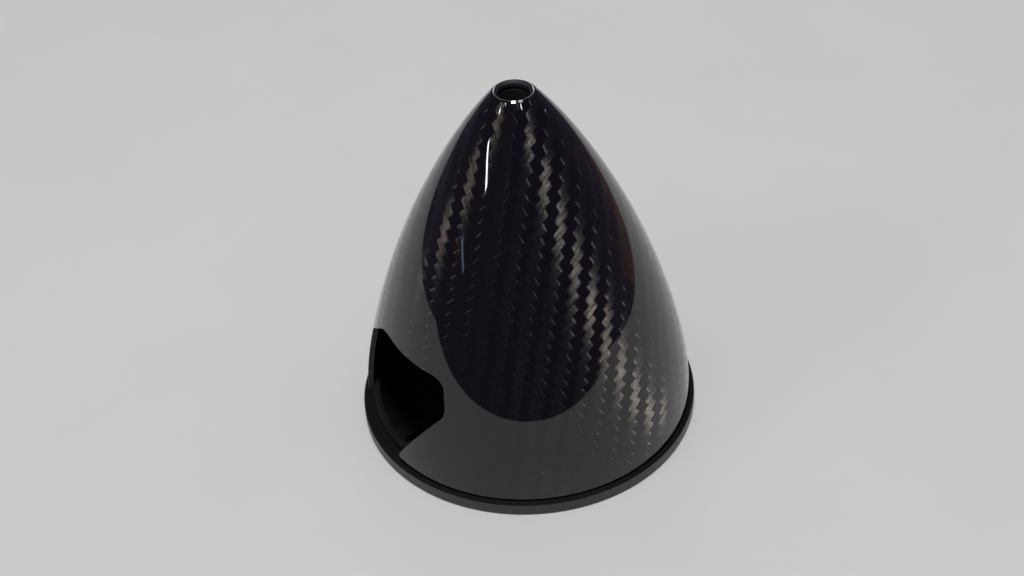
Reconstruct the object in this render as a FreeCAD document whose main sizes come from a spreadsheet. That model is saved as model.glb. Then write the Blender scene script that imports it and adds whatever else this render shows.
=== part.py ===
import FreeCAD, Part
import math
import os
import Sketcher

# Two-blade propeller spinner, 3.5 in across its backplate.
#
# A thin moulded carbon-fibre cone stands on a turned and milled aluminium backplate.
# The cone's lower edge rests on a narrow seat, so a fine dark gap runs round above the
# rim, and a low register ring inside the cone keeps it centred.  A conical bush bonded
# into the nose carries the long screw that clamps the cone down.  The two windows, for
# the roots of the blades, are cut along the blade axis and stay open to the cone's edge.
#
# Origin: centre of the backplate's underside.  +Z runs along the shaft to the nose, and
# X is the blade axis.

doc = FreeCAD.newDocument("propeller_spinner")
origin = FreeCAD.Vector(0, 0, 0)

# ---------------------------------------------------------------------------
# Driving dimensions, millimetres and degrees
# ---------------------------------------------------------------------------

DRIVING = [
    # backplate, turned
    ("plate_radius", 44.45, "outside of the rim"),
    ("rim_top", 3.60, "height of the rim"),
    ("rim_chamfer", 0.35, "broken edges of the rim"),
    ("seat_outer_radius", 42.80, "outside of the seat that carries the cone"),
    ("cone_edge", 4.15, "height of the seat and of the cone's lower edge"),
    ("register_radius", 41.45, "outside of the ring that centres the cone"),
    ("register_top", 6.80, "height of the register ring"),
    ("register_lead", 0.60, "lead-in chamfer of the register ring"),
    ("register_inner_radius", 39.70, "inside of the register ring"),
    ("web_top", 3.20, "height of the spokes"),
    ("foot_chamfer", 0.60, "slope left by the tool at the foot of ring and hub"),
    ("hub_radius", 20.50, "outside of the hub"),
    ("hub_top", 8.00, "height of the face that carries the propeller"),
    ("hub_chamfer", 0.50, "edge of the hub"),
    ("bore_radius", 4.00, "shaft bore"),
    ("bore_chamfer", 0.40, "both ends of the shaft bore"),
    # backplate, milled
    ("pocket_outer_radius", 38.80, "outer wall of the six pockets"),
    ("pocket_inner_radius", 22.50, "inner wall of the six pockets"),
    ("pocket_corner", 2.50, "cutter radius in the pockets' corners"),
    ("pocket_floor", 1.20, "height of the thin floor left under the pockets"),
    ("spoke_half_width", 2.10, "half of a spoke's width"),
    ("bolt_circle_radius", 15.00, "circle of the propeller bolts"),
    ("bolt_hole_radius", 2.60, "clearance hole for a propeller bolt"),
    # cone
    ("cone_radius", 43.25, "outside of the cone at its edge"),
    ("wall", 1.50, "thickness of the laminate"),
    ("belly_arc", 102.80, "radius of the outline next to the edge"),
    ("belly_centre", 5.55, "how far that arc's centre lies below the edge"),
    ("belly_top", 23.00, "height where the belly runs into the flank"),
    ("flank_arc", 197.70, "radius of the long flank"),
    ("flank_top", 82.40, "height where the flank runs into the nose"),
    ("nose_arc", 111.40, "radius of the outline at the nose"),
    ("nose_top", 95.80, "height of the trimmed nose"),
    ("nose_hole_radius", 3.90, "hole for the screw's head and its key"),
    # window, looking along the blade axis: across the axis, and up from the underside
    ("window_rear_foot", 18.50, "rear side at the cone's edge"),
    ("window_rear_top", 16.90, "rear side at its upper corner"),
    ("window_shoulder", 25.90, "height of the rear corner"),
    ("window_crown", 4.60, "where the slanting shoulder meets the top, rear of the axis"),
    ("window_top", 35.30, "height of the top at the crown"),
    ("window_front_top", 19.60, "front corner, across the axis"),
    ("window_front_height", 34.40, "front corner, height"),
    ("window_bulge", 22.10, "widest point at the front"),
    ("window_bulge_height", 25.20, "height of the widest point"),
    ("window_front_foot", 8.60, "front side at the cone's edge"),
    ("window_rear_round", 4.50, "round of the rear corner"),
    ("window_crown_round", 12.00, "round at the crown"),
    ("window_front_round", 4.20, "round of the front corner"),
    ("window_bulge_round", 4.60, "round at the widest point"),
    ("window_foot_round", 1.40, "round where the front side meets the cone's edge"),
    # bush in the nose
    ("bush_foot", 79.30, "lower end of the bush"),
    ("bush_neck_radius", 6.00, "outside of the neck"),
    ("bush_flange", 84.50, "underside of the bonded flange"),
    ("bush_flange_radius", 11.85, "flange at its underside, a bond line inside the laminate"),
    ("bush_top", 93.60, "upper end of the bush"),
    ("bush_top_radius", 4.88, "flange at its upper end"),
    ("seat_height", 83.30, "seat of the washer"),
    ("shank_hole_radius", 2.15, "clearance hole for the screw"),
    # washer and screw, M4
    ("washer_radius", 3.70, "outside of the washer"),
    ("washer_thickness", 0.80, "thickness of the washer"),
    ("thread_radius", 2.00, "outside of the thread"),
    ("shank_length", 40.00, "length under the head"),
    ("head_radius", 3.50, "outside of the head"),
    ("head_height", 4.00, "height of the head"),
    ("head_chamfer", 0.40, "edge of the head"),
    ("tip_chamfer", 0.50, "end of the thread"),
    ("socket_flat", 1.50, "half of the key's width across flats"),
    ("socket_depth", 2.20, "depth of the socket"),
]

WINDOWS = 2
SPOKES = 6
PROPELLER_BOLTS = 4

sheet = doc.addObject("Spreadsheet::Sheet", "Dims")
for row, (alias, number, words) in enumerate(DRIVING, start=1):
    sheet.set("A%d" % row, words)
    sheet.set("B%d" % row, str(number))
    sheet.setAlias("B%d" % row, alias)
doc.recompute()


def size(words):
    """Value of a sum of cells, such as 'rim_top - rim_chamfer'."""
    total = 0.0
    sign = 1.0
    for word in words.split():
        if word == "-":
            sign = -1.0
        elif word != "+":
            total += sign * (float(word) if word[0].isdigit() else float(sheet.get(word)))
            sign = 1.0
    return total


def formula(words):
    """The same sum as an expression that names the sheet's cells."""
    return " ".join("Dims." + word if word[0].isalpha() else word for word in words.split())


def opposite(words):
    """The sum with every sign turned, for a point left of the origin or below it."""
    terms = words.replace("- ", "-").replace("+ ", "").split()
    turned = [term[1:] if term.startswith("-") else "-" + term for term in terms if term != "0"]
    turned.sort(key=lambda term: term.startswith("-"))
    return " ".join(turned).replace("-", "- ")


# ---------------------------------------------------------------------------
# Sketching helpers
# ---------------------------------------------------------------------------

def new_body(label):
    body = doc.addObject("PartDesign::Body", label)
    body.Label = label
    return body


def origin_feature(body, role):
    return next(item for item in body.Origin.OriginFeatures if item.Role == role)


def new_sketch(body, name, role):
    sketch = body.newObject("Sketcher::SketchObject", name)
    sketch.AttachmentSupport = [(origin_feature(body, role), "")]
    sketch.MapMode = "FlatFace"
    return sketch


def bind(sketch, constraint, words):
    """Tie a constraint that has a value to the sheet."""
    index = sketch.addConstraint(constraint)
    name = "%s_%d" % (words.replace(" - ", "_less_").replace(" + ", "_plus_"), index)
    sketch.renameConstraint(index, name)
    sketch.setExpression("Constraints." + name, formula(words))


def pin_point(sketch, edge, end, across, up):
    """Hold one end of an edge at a place given by two sums of cells."""
    for kind, words in (("DistanceX", across), ("DistanceY", up)):
        if abs(size(words)) < 1e-9:
            axis = -2 if kind == "DistanceX" else -1
            sketch.addConstraint(Sketcher.Constraint("PointOnObject", edge, end, axis))
        elif size(words) > 0:
            bind(sketch, Sketcher.Constraint(kind, -1, 1, edge, end, size(words)), words)
        else:
            turned = opposite(words)
            bind(sketch, Sketcher.Constraint(kind, edge, end, -1, 1, size(turned)), turned)


def arc_between(centre, radius, start, end):
    """Arc of a circle, counter-clockwise from one point to another."""
    first = math.atan2(start.y - centre.y, start.x - centre.x)
    last = math.atan2(end.y - centre.y, end.x - centre.x)
    if last < first:
        last += 2 * math.pi
    circle = Part.Circle(centre, FreeCAD.Vector(0, 0, 1), radius)
    return Part.ArcOfCircle(circle, first, last)


def outline(sketch, corners):
    """Closed outline of straight sides; a corner is (across, up) or (across, up, round)."""
    spots = [FreeCAD.Vector(size(corner[0]), size(corner[1]), 0) for corner in corners]
    count = len(corners)
    leaving, reaching, rounds = [], [], []
    for i, corner in enumerate(corners):
        if len(corner) == 2:
            leaving.append(spots[i])
            reaching.append(spots[i])
            rounds.append(None)
            continue
        back = (spots[i - 1] - spots[i]).normalize()
        ahead = (spots[(i + 1) % count] - spots[i]).normalize()
        half = back.getAngle(ahead) / 2
        radius = size(corner[2])
        reach = radius / math.tan(half)
        reaching.append(spots[i] + back * reach)
        leaving.append(spots[i] + ahead * reach)
        rounds.append(spots[i] + (back + ahead).normalize() * (radius / math.sin(half)))

    sides = []
    for i in range(count):
        line = Part.LineSegment(leaving[i], reaching[(i + 1) % count])
        sides.append(sketch.addGeometry(line, False))
    for i, corner in enumerate(corners):
        before, after = sides[i - 1], sides[i]
        if rounds[i] is None:
            sketch.addConstraint(Sketcher.Constraint("Coincident", before, 2, after, 1))
            pin_point(sketch, after, 1, corner[0], corner[1])
            continue
        turn = (reaching[i] - rounds[i]).cross(leaving[i] - rounds[i]).z
        radius = size(corner[2])
        if turn > 0:
            arc = sketch.addGeometry(arc_between(rounds[i], radius, reaching[i], leaving[i]), False)
            first, last = 1, 2
        else:
            arc = sketch.addGeometry(arc_between(rounds[i], radius, leaving[i], reaching[i]), False)
            first, last = 2, 1
        mark = sketch.addGeometry(Part.Point(spots[i]), True)
        sketch.addConstraint(Sketcher.Constraint("Tangent", before, 2, arc, first))
        sketch.addConstraint(Sketcher.Constraint("Tangent", arc, last, after, 1))
        sketch.addConstraint(Sketcher.Constraint("PointOnObject", mark, 1, before))
        sketch.addConstraint(Sketcher.Constraint("PointOnObject", mark, 1, after))
        bind(sketch, Sketcher.Constraint("Radius", arc, radius), corner[2])
        pin_point(sketch, mark, 1, corner[0], corner[1])
    return sides


def revolve(body, sketch, name):
    turned = body.newObject("PartDesign::Revolution", name)
    turned.Profile = sketch
    turned.ReferenceAxis = (origin_feature(body, "Z_Axis"), [""])
    turned.Angle = 360
    return turned


def pocket(body, sketch, name, both_ways=False, reversed_way=False):
    cut = body.newObject("PartDesign::Pocket", name)
    cut.Profile = sketch
    cut.Type = "ThroughAll"
    cut.Midplane = both_ways
    cut.Reversed = reversed_way
    return cut


def pattern(body, feature, name, count):
    """Repeat a cut evenly round the shaft axis."""
    polar = body.newObject("PartDesign::PolarPattern", name)
    polar.Originals = [feature]
    polar.Axis = (origin_feature(body, "Z_Axis"), [""])
    polar.Angle = 360
    polar.Occurrences = count
    body.Tip = polar
    return polar


def circle(sketch, across, radius):
    """Circle on the sketch's horizontal axis."""
    spot = FreeCAD.Vector(size(across), 0, 0)
    ring = sketch.addGeometry(Part.Circle(spot, FreeCAD.Vector(0, 0, 1), size(radius)), False)
    bind(sketch, Sketcher.Constraint("Radius", ring, size(radius)), radius)
    pin_point(sketch, ring, 3, across, "0")
    return ring


# ---------------------------------------------------------------------------
# Outline of the ogive: three arcs that run into each other without a corner
# ---------------------------------------------------------------------------

def ogive_arcs():
    """Centre, radius, lower end and upper end of each arc, in the plane of X and Z."""
    foot = size("cone_edge")
    centre_up = foot - size("belly_centre")
    start = math.asin((foot - centre_up) / size("belly_arc"))
    centre = FreeCAD.Vector(size("cone_radius") - size("belly_arc") * math.cos(start), centre_up, 0)
    lower = FreeCAD.Vector(size("cone_radius"), foot, 0)
    arcs = []
    for alias, top in (("belly_arc", "belly_top"), ("flank_arc", "flank_top"), ("nose_arc", "nose_top")):
        radius = size(alias)
        if arcs:
            inward = (centre - lower).normalize()
            centre = lower + inward * radius
        angle = math.asin((size(top) - centre.y) / radius)
        upper = FreeCAD.Vector(centre.x + radius * math.cos(angle), size(top), 0)
        arcs.append((centre, radius, lower, upper))
        lower = upper
    return arcs


# ---------------------------------------------------------------------------
# Cone: turned ogive, shelled, bored at the nose, with two windows
# ---------------------------------------------------------------------------

def make_cone():
    body = new_body("spinner_cone")
    section = new_sketch(body, "ogive_section", "XZ_Plane")
    arcs = ogive_arcs()
    edges = [section.addGeometry(arc_between(*arc), False) for arc in arcs]
    rim, top = arcs[0][2], arcs[-1][3]
    lid = section.addGeometry(Part.LineSegment(top, FreeCAD.Vector(0, top.y, 0)), False)
    axis_top, axis_foot = FreeCAD.Vector(0, top.y, 0), FreeCAD.Vector(0, rim.y, 0)
    axis = section.addGeometry(Part.LineSegment(axis_top, axis_foot), False)
    base = section.addGeometry(Part.LineSegment(axis_foot, rim), False)

    section.addConstraint(Sketcher.Constraint("Tangent", edges[0], 2, edges[1], 1))
    section.addConstraint(Sketcher.Constraint("Tangent", edges[1], 2, edges[2], 1))
    section.addConstraint(Sketcher.Constraint("Coincident", edges[2], 2, lid, 1))
    section.addConstraint(Sketcher.Constraint("Coincident", lid, 2, axis, 1))
    section.addConstraint(Sketcher.Constraint("Coincident", axis, 2, base, 1))
    section.addConstraint(Sketcher.Constraint("Coincident", base, 2, edges[0], 1))
    section.addConstraint(Sketcher.Constraint("Horizontal", lid))
    section.addConstraint(Sketcher.Constraint("Horizontal", base))
    section.addConstraint(Sketcher.Constraint("PointOnObject", axis, 1, -2))
    section.addConstraint(Sketcher.Constraint("PointOnObject", axis, 2, -2))
    pin_point(section, edges[0], 1, "cone_radius", "cone_edge")
    for edge, arc, alias in zip(edges, arcs, ("belly_arc", "flank_arc", "nose_arc")):
        bind(section, Sketcher.Constraint("Radius", edge, arc[1]), alias)
    drop = size("belly_centre")
    bind(section, Sketcher.Constraint("DistanceY", edges[0], 3, edges[0], 1, drop), "belly_centre")
    for edge, top_words in zip(edges, ("belly_top", "flank_top", "nose_top")):
        bind(section, Sketcher.Constraint("DistanceY", -1, 1, edge, 2, size(top_words)), top_words)
    ogive = revolve(body, section, "ogive")
    doc.recompute()

    # the mould leaves the base open, so the underside is the face that shelling removes
    faces = ogive.Shape.Faces
    under = min(range(len(faces)), key=lambda i: faces[i].CenterOfMass.z)
    shell = body.newObject("PartDesign::Thickness", "shell")
    shell.Base = (ogive, ["Face%d" % (under + 1)])
    shell.Reversed = True
    shell.Mode = 0
    shell.Join = 0
    shell.setExpression("Value", "Dims.wall")

    hole_sketch = new_sketch(body, "nose_hole_sketch", "XY_Plane")
    circle(hole_sketch, "0", "nose_hole_radius")
    pocket(body, hole_sketch, "nose_hole", both_ways=True)

    window_sketch = new_sketch(body, "window_sketch", "YZ_Plane")
    outline(window_sketch, [
        ("0 - window_rear_foot", "0"),
        ("0 - window_rear_top", "window_shoulder", "window_rear_round"),
        ("0 - window_crown", "window_top", "window_crown_round"),
        ("window_front_top", "window_front_height", "window_front_round"),
        ("window_bulge", "window_bulge_height", "window_bulge_round"),
        ("window_front_foot", "cone_edge", "window_foot_round"),
        ("window_bulge", "cone_edge"),
        ("window_bulge", "0"),
    ])
    window = pocket(body, window_sketch, "window", reversed_way=True)
    pattern(body, window, "both_windows", WINDOWS)
    return body


# ---------------------------------------------------------------------------
# Backplate: turned blank, six blind pockets that leave spokes, propeller bolt holes
# ---------------------------------------------------------------------------

def make_backplate():
    body = new_body("backplate")
    section = new_sketch(body, "plate_section", "XZ_Plane")
    outline(section, [
        ("bore_radius + bore_chamfer", "0"),
        ("plate_radius - rim_chamfer", "0"),
        ("plate_radius", "rim_chamfer"),
        ("plate_radius", "rim_top - rim_chamfer"),
        ("plate_radius - rim_chamfer", "rim_top"),
        ("seat_outer_radius", "rim_top"),
        ("seat_outer_radius", "cone_edge"),
        ("register_radius", "cone_edge"),
        ("register_radius", "register_top - register_lead"),
        ("register_radius - register_lead", "register_top"),
        ("register_inner_radius", "register_top"),
        ("register_inner_radius", "web_top + foot_chamfer"),
        ("register_inner_radius - foot_chamfer", "web_top"),
        ("hub_radius + foot_chamfer", "web_top"),
        ("hub_radius", "web_top + foot_chamfer"),
        ("hub_radius", "hub_top - hub_chamfer"),
        ("hub_radius - hub_chamfer", "hub_top"),
        ("bore_radius + bore_chamfer", "hub_top"),
        ("bore_radius", "hub_top - bore_chamfer"),
        ("bore_radius", "bore_chamfer"),
    ])
    revolve(body, section, "turned_blank")

    pocket_sketch = new_sketch(body, "pocket_sketch", "XY_Plane")
    pocket_sketch.setExpression("AttachmentOffset.Base.z", formula("pocket_floor"))
    draw_pocket(pocket_sketch)
    first_pocket = pocket(body, pocket_sketch, "first_pocket", reversed_way=True)
    pattern(body, first_pocket, "six_pockets", SPOKES)

    bolt_sketch = new_sketch(body, "bolt_hole_sketch", "XY_Plane")
    circle(bolt_sketch, "bolt_circle_radius", "bolt_hole_radius")
    first_hole = pocket(body, bolt_sketch, "first_bolt_hole", both_ways=True)
    pattern(body, first_hole, "propeller_bolt_holes", PROPELLER_BOLTS)
    return body


def draw_pocket(sketch):
    """Sector between two spokes, with arcs along hub and rim and a cutter's round corners."""
    turn = 2 * math.pi / SPOKES
    outer, inner = size("pocket_outer_radius"), size("pocket_inner_radius")
    corner, offset = size("pocket_corner"), size("spoke_half_width")

    def beside_spoke(along, aside, second):
        """Point given along and beside a spoke: the one on X, or the next one round."""
        if not second:
            return FreeCAD.Vector(along, aside, 0)
        return FreeCAD.Vector(along * math.cos(turn) + aside * math.sin(turn),
                              along * math.sin(turn) - aside * math.cos(turn), 0)

    aside = offset + corner
    along_outer = math.sqrt((outer - corner) ** 2 - aside ** 2)
    along_inner = math.sqrt((inner + corner) ** 2 - aside ** 2)
    low_outer, high_outer = (beside_spoke(along_outer, aside, second) for second in (False, True))
    low_inner, high_inner = (beside_spoke(along_inner, aside, second) for second in (False, True))
    low_outer_foot, high_outer_foot = (beside_spoke(along_outer, offset, s) for s in (False, True))
    low_inner_foot, high_inner_foot = (beside_spoke(along_inner, offset, s) for s in (False, True))

    def on_ring(centre, radius):
        return centre * (radius / centre.Length)

    rim = arc_between(origin, outer, on_ring(low_outer, outer), on_ring(high_outer, outer))
    hub = arc_between(origin, inner, on_ring(low_inner, inner), on_ring(high_inner, inner))
    corners = [
        arc_between(low_outer, corner, low_outer_foot, on_ring(low_outer, outer)),
        arc_between(high_outer, corner, on_ring(high_outer, outer), high_outer_foot),
        arc_between(high_inner, corner, high_inner_foot, on_ring(high_inner, inner)),
        arc_between(low_inner, corner, on_ring(low_inner, inner), low_inner_foot),
    ]
    rim, hub = sketch.addGeometry(rim, False), sketch.addGeometry(hub, False)
    corners = [sketch.addGeometry(arc, False) for arc in corners]
    low = sketch.addGeometry(Part.LineSegment(low_inner_foot, low_outer_foot), False)
    high = sketch.addGeometry(Part.LineSegment(high_outer_foot, high_inner_foot), False)

    joints = [(low, 2, corners[0], 1), (corners[0], 2, rim, 1), (rim, 2, corners[1], 1),
              (corners[1], 2, high, 1), (high, 2, corners[2], 1), (corners[2], 2, hub, 2),
              (hub, 1, corners[3], 1), (corners[3], 2, low, 1)]
    for joint in joints:
        sketch.addConstraint(Sketcher.Constraint("Tangent", *joint))
    for ring, words in ((rim, "pocket_outer_radius"), (hub, "pocket_inner_radius")):
        sketch.addConstraint(Sketcher.Constraint("Coincident", ring, 3, -1, 1))
        bind(sketch, Sketcher.Constraint("Radius", ring, size(words)), words)
    for arc in corners:
        bind(sketch, Sketcher.Constraint("Radius", arc, corner), "pocket_corner")
    for side in (low, high):
        bind(sketch, Sketcher.Constraint("Distance", -1, 1, side, offset), "spoke_half_width")
    sketch.addConstraint(Sketcher.Constraint("Horizontal", low))
    sketch.addConstraint(Sketcher.Constraint("Angle", low, 1, high, 2, turn))


# ---------------------------------------------------------------------------
# Bush in the nose: a turned cone bonded inside the laminate, with a neck for the seat
# ---------------------------------------------------------------------------

def make_nose_bush():
    body = new_body("nose_bush")
    section = new_sketch(body, "bush_section", "XZ_Plane")
    outline(section, [
        ("shank_hole_radius", "bush_foot"),
        ("bush_neck_radius", "bush_foot"),
        ("bush_neck_radius", "bush_flange"),
        ("bush_flange_radius", "bush_flange"),
        ("bush_top_radius", "bush_top"),
        ("nose_hole_radius", "bush_top"),
        ("nose_hole_radius", "seat_height"),
        ("shank_hole_radius", "seat_height"),
    ])
    revolve(body, section, "turned_bush")
    return body


# ---------------------------------------------------------------------------
# Washer and socket-head screw, each made about its own origin and lifted into place
# ---------------------------------------------------------------------------

def make_washer():
    disc = doc.addObject("Part::Cylinder", "washer_disc")
    disc.setExpression("Radius", formula("washer_radius"))
    disc.setExpression("Height", formula("washer_thickness"))
    hole = doc.addObject("Part::Cylinder", "washer_hole")
    hole.setExpression("Radius", formula("shank_hole_radius"))
    hole.setExpression("Height", formula("washer_thickness"))
    washer = doc.addObject("Part::Cut", "screw_washer")
    washer.Base = disc
    washer.Tool = hole
    washer.Label = "screw_washer"
    washer.setExpression("Placement.Base.z", formula("seat_height"))
    return washer


def make_screw():
    body = new_body("fixing_screw")
    section = new_sketch(body, "screw_section", "XZ_Plane")
    outline(section, [
        ("0", "0 - shank_length"),
        ("thread_radius - tip_chamfer", "0 - shank_length"),
        ("thread_radius", "tip_chamfer - shank_length"),
        ("thread_radius", "0"),
        ("head_radius", "0"),
        ("head_radius", "head_height - head_chamfer"),
        ("head_radius - head_chamfer", "head_height"),
        ("0", "head_height"),
    ])
    revolve(body, section, "turned_screw")
    doc.recompute()

    socket_sketch = new_sketch(body, "socket_sketch", "XY_Plane")
    socket_sketch.setExpression("AttachmentOffset.Base.z", formula("head_height"))
    reach = size("socket_flat") / math.cos(math.pi / 6)
    tips = [FreeCAD.Vector(reach * math.cos(k * math.pi / 3), reach * math.sin(k * math.pi / 3), 0)
            for k in range(6)]
    sides = [socket_sketch.addGeometry(Part.LineSegment(tips[k], tips[(k + 1) % 6]), False)
             for k in range(6)]
    ring = socket_sketch.addGeometry(Part.Circle(origin, FreeCAD.Vector(0, 0, 1), reach), True)
    socket_sketch.addConstraint(Sketcher.Constraint("Coincident", ring, 3, -1, 1))
    for k in range(6):
        following = sides[(k + 1) % 6]
        socket_sketch.addConstraint(Sketcher.Constraint("Coincident", sides[k], 2, following, 1))
        socket_sketch.addConstraint(Sketcher.Constraint("PointOnObject", sides[k], 1, ring))
        if k:
            socket_sketch.addConstraint(Sketcher.Constraint("Equal", sides[0], sides[k]))
    socket_sketch.addConstraint(Sketcher.Constraint("Horizontal", sides[1]))
    flat = Sketcher.Constraint("Distance", -1, 1, sides[1], size("socket_flat"))
    bind(socket_sketch, flat, "socket_flat")
    socket = body.newObject("PartDesign::Pocket", "socket")
    socket.Profile = socket_sketch
    socket.setExpression("Length", formula("socket_depth"))
    body.setExpression("Placement.Base.z", formula("seat_height + washer_thickness"))
    return body


# ---------------------------------------------------------------------------
# Build, test and export
# ---------------------------------------------------------------------------

parts = [make_cone(), make_backplate(), make_nose_bush(), make_washer(), make_screw()]
doc.recompute()

for item in doc.Objects:
    if "Invalid" in item.State or "Error" in item.State:
        raise RuntimeError("%s failed: %s" % (item.Name, item.State))
for part in parts:
    if part.Shape.isNull() or not part.Shape.isValid():
        raise RuntimeError("%s has no valid shape" % part.Label)

os.makedirs("parts", exist_ok=True)
for part in parts:
    part.Shape.exportStep("parts/%s.step" % part.Label)
    box = part.Shape.BoundBox
    print("%-14s %9.1f mm3   z %.2f to %.2f" % (part.Label, part.Shape.Volume, box.ZMin, box.ZMax))
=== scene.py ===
"""Propeller spinner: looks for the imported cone, backplate, nose bush, washer and screw.

Lengths in the tables are millimetres, with Z along the shaft axis and up from the backplate's
underside.  Blender's own unit is the metre, so MM turns one into the other.
"""
import math

import bpy
from mathutils import Matrix, Vector


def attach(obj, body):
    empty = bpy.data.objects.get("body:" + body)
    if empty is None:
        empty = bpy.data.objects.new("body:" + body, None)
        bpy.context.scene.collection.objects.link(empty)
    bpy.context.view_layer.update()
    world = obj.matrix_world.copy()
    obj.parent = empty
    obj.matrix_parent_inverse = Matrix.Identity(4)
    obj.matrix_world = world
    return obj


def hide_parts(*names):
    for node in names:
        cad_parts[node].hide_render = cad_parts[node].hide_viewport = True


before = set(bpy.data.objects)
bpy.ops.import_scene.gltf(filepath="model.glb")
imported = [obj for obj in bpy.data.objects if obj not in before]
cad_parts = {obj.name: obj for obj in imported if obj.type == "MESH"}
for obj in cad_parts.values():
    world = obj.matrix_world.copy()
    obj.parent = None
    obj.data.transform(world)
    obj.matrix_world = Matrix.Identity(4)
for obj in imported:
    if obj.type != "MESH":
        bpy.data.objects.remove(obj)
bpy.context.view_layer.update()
bpy.ops.object.select_all(action="DESELECT")

MM = 0.001
WHITE, BLACK = (1, 1, 1, 1), (0, 0, 0, 1)
X, Y, Z = Vector((1, 0, 0)), Vector((0, 1, 0)), Vector((0, 0, 1))


# ---------------------------------------------------------------------------
# Camera
# ---------------------------------------------------------------------------

# place in metres, turn in degrees, lens and sensor in millimetres, nearest point in metres
CAMERA_PLACE = (-0.12715, -0.27268, 0.27958)
CAMERA_TURN = (51.066, 2.565, -26.505)
FOCAL_LENGTH, SENSOR_WIDTH, NEAREST = 52.99, 36, 0.01

bpy.ops.object.camera_add(location=CAMERA_PLACE, rotation=[math.radians(turn) for turn in CAMERA_TURN])
camera = bpy.context.object
camera.name = "camera"
camera.data.sensor_width = SENSOR_WIDTH
camera.data.lens = FOCAL_LENGTH
camera.data.clip_start = NEAREST
bpy.context.scene.camera = camera


# ---------------------------------------------------------------------------
# Drawing and shaping
# ---------------------------------------------------------------------------

TOUCHING = 0.002


def draw(name, across, up, start, runs):
    """A line drawn in the plane of across and up, from a single point.

    A run is the point it ends at, and for an arc also the arc's centre and its number of steps."""
    bpy.ops.object.select_all(action="DESELECT")
    bpy.ops.mesh.primitive_plane_add(size=MM, location=(across * start[0] + up * start[1]) * MM)
    piece = bpy.context.object
    piece.name = piece.data.name = name
    bpy.ops.object.transform_apply(location=True, rotation=True, scale=True)
    bpy.ops.object.mode_set(mode="EDIT")
    bpy.ops.mesh.select_all(action="SELECT")
    bpy.ops.mesh.merge(type="CENTER")
    here = Vector(start)
    for run in runs:
        there = Vector(run[:2])
        if len(run) == 2:
            step = (there - here) * MM
            bpy.ops.mesh.extrude_vertices_move(
                TRANSFORM_OT_translate={"value": across * step.x + up * step.y})
        else:
            centre = Vector(run[2:4])
            bpy.ops.mesh.spin(steps=run[4], angle=(here - centre).angle_signed(there - centre),
                              center=(across * centre.x + up * centre.y) * MM,
                              axis=across.cross(up))
        here = there
    return piece


def rounded(corners, steps=6):
    """Start and runs of a closed outline of straight sides, with an arc at each corner that has
    a radius after its two coordinates."""
    points, runs = [Vector(corner[:2]) for corner in corners], []
    for k, corner in enumerate(corners):
        here = points[k]
        if len(corner) == 2:
            runs.append(tuple(here))
            continue
        back = (points[k - 1] - here).normalized()
        ahead = (points[(k + 1) % len(points)] - here).normalized()
        half = back.angle(ahead) / 2
        inset = corner[2] / math.tan(half)
        centre = here + (back + ahead).normalized() * (corner[2] / math.sin(half))
        runs.append(tuple(here + back * inset))
        runs.append((*(here + ahead * inset), *centre, steps))
    return runs[0][:2], runs[1:] + [runs[0][:2]]


def turn_round(piece, steps):
    """Spins the drawn section round the shaft axis and closes it."""
    bpy.ops.mesh.select_all(action="SELECT")
    bpy.ops.mesh.spin(steps=steps, angle=2 * math.pi, center=(0, 0, 0), axis=Z)
    close_up()
    return piece


def close_up():
    """Merges points that touch, turns the faces outwards and leaves edit mode."""
    bpy.ops.mesh.select_all(action="SELECT")
    bpy.ops.mesh.remove_doubles(threshold=TOUCHING * MM)
    bpy.ops.mesh.normals_make_consistent(inside=False)
    bpy.ops.object.mode_set(mode="OBJECT")


def pull(piece, path):
    """Fills the drawn outline and pulls it along the path into a solid."""
    bpy.ops.mesh.select_all(action="SELECT")
    bpy.ops.mesh.remove_doubles(threshold=TOUCHING * MM)
    bpy.ops.mesh.edge_face_add()
    bpy.ops.mesh.extrude_region_move(TRANSFORM_OT_translate={"value": path * MM})
    close_up()
    return piece


def turned_copy(piece, angle):
    """A copy with its own mesh, turned round the shaft axis."""
    bpy.ops.object.select_all(action="DESELECT")
    piece.select_set(True)
    bpy.context.view_layer.objects.active = piece
    bpy.ops.object.duplicate()
    copy = bpy.context.object
    bpy.ops.object.mode_set(mode="EDIT")
    bpy.ops.mesh.select_all(action="SELECT")
    bpy.ops.transform.rotate(value=-angle, orient_axis="Z", orient_type="GLOBAL",
                             center_override=(0, 0, 0))
    bpy.ops.object.mode_set(mode="OBJECT")
    return copy


def apply(piece, kind, **settings):
    """Puts a modifier on the piece and applies it."""
    bpy.ops.object.select_all(action="DESELECT")
    piece.select_set(True)
    bpy.context.view_layer.objects.active = piece
    modifier = piece.modifiers.new(kind.lower(), kind)
    for name, value in settings.items():
        setattr(modifier, name, value)
    bpy.ops.object.modifier_apply(modifier=modifier.name)


def cut(piece, cutters):
    """Takes the cutters away from the piece and throws them away."""
    for cutter in cutters:
        apply(piece, "BOOLEAN", object=cutter, operation="DIFFERENCE", solver="EXACT")
        bpy.data.objects.remove(cutter)


def break_edges(piece, width, segments=2, angle=35):
    apply(piece, "BEVEL", width=width * MM, segments=segments, limit_method="ANGLE",
          angle_limit=math.radians(angle), use_clamp_overlap=False)


def smooth(piece, angle=30):
    bpy.ops.object.select_all(action="DESELECT")
    piece.select_set(True)
    bpy.context.view_layer.objects.active = piece
    bpy.ops.object.shade_smooth_by_angle(angle=math.radians(angle))


def finish_piece(piece, node):
    """Hangs the piece under the root body and hides the imported solid that it stands for."""
    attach(piece, "root")
    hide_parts(node)


# ---------------------------------------------------------------------------
# Cone
# ---------------------------------------------------------------------------

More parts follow.
